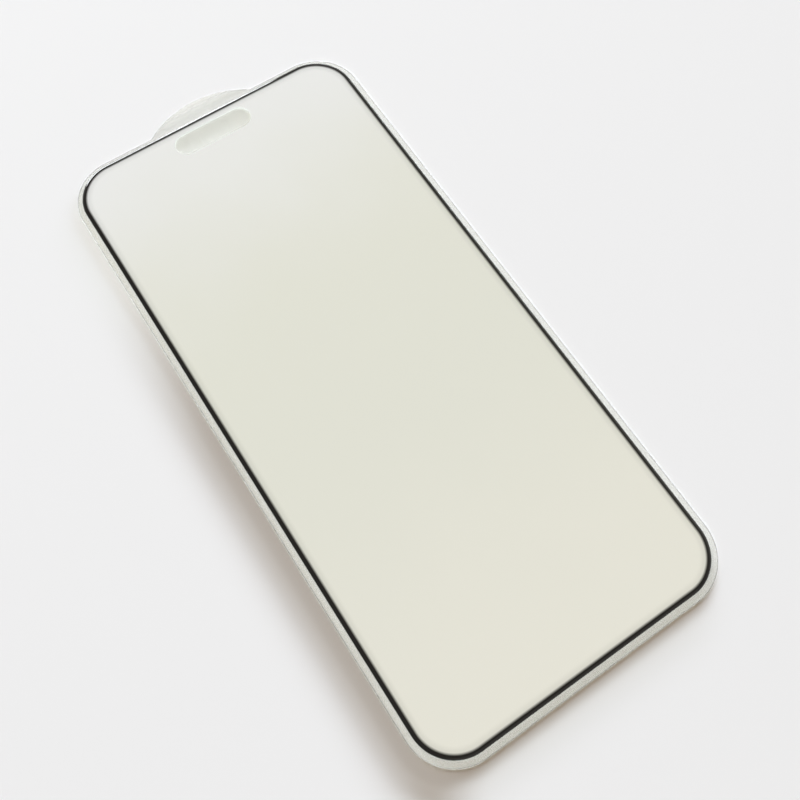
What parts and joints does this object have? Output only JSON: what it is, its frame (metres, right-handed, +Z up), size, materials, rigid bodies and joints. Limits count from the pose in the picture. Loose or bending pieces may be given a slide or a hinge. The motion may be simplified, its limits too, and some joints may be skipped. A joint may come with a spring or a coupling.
{
  "type": "phone screen protector",
  "caption": "Thin rounded sheet of frosted glass with a black printed border and a pill-shaped cut-out, on a clear release film with a pull tab.",
  "frame": {"origin": "below the middle of the glass, on the surface that the release film lies on", "axes": "+Z up out of the glass's face, +Y along the long side towards the pull tab, +X across"},
  "size_m": [0.0782, 0.1681, 0.0008],
  "materials": {
    "frosted_glass": "fine matt face with polished edges",
    "black_print": "matt printed ink",
    "clear_adhesive": "clear soft silicone",
    "clear_film": "clear glossy film"
  },
  "bodies": {
    "root": {"glass_panel": "frosted_glass", "border_print": "black_print", "adhesive_layer": "clear_adhesive", "release_liner": "clear_film"}
  },
  "joints": []
}
